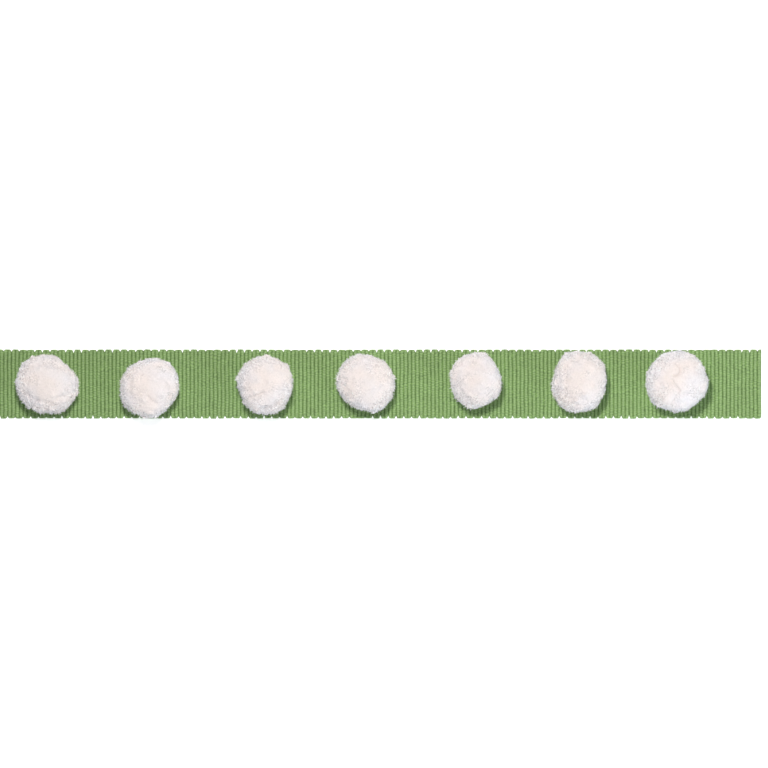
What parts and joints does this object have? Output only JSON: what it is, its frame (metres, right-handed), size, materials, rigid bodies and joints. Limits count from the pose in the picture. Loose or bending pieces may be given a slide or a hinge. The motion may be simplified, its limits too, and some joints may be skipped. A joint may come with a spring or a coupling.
{
  "type": "pompom ribbon trim",
  "caption": "Cut length of ribbed grosgrain ribbon lying flat, with round cut-yarn pompoms sewn in a row along its face.",
  "frame": {"origin": "middle of the ribbon's back, on the surface that it lies on, halfway between its cut ends and its two edges", "axes": "+X along the ribbon, +Y across its width, +Z out of its face, through the pompoms"},
  "size_m": [0.2794, 0.0256, 0.0228],
  "materials": {
    "ribbon": "ribbed woven grosgrain, matt with a faint sheen on the rib crests",
    "pompom": "dense short cut yarn, matt"
  },
  "bodies": {
    "root": {"ribbon": "ribbon", "pompom_1": "pompom", "pompom_2": "pompom", "pompom_3": "pompom", "pompom_4": "pompom", "pompom_5": "pompom", "pompom_6": "pompom", "pompom_7": "pompom"}
  },
  "joints": []
}
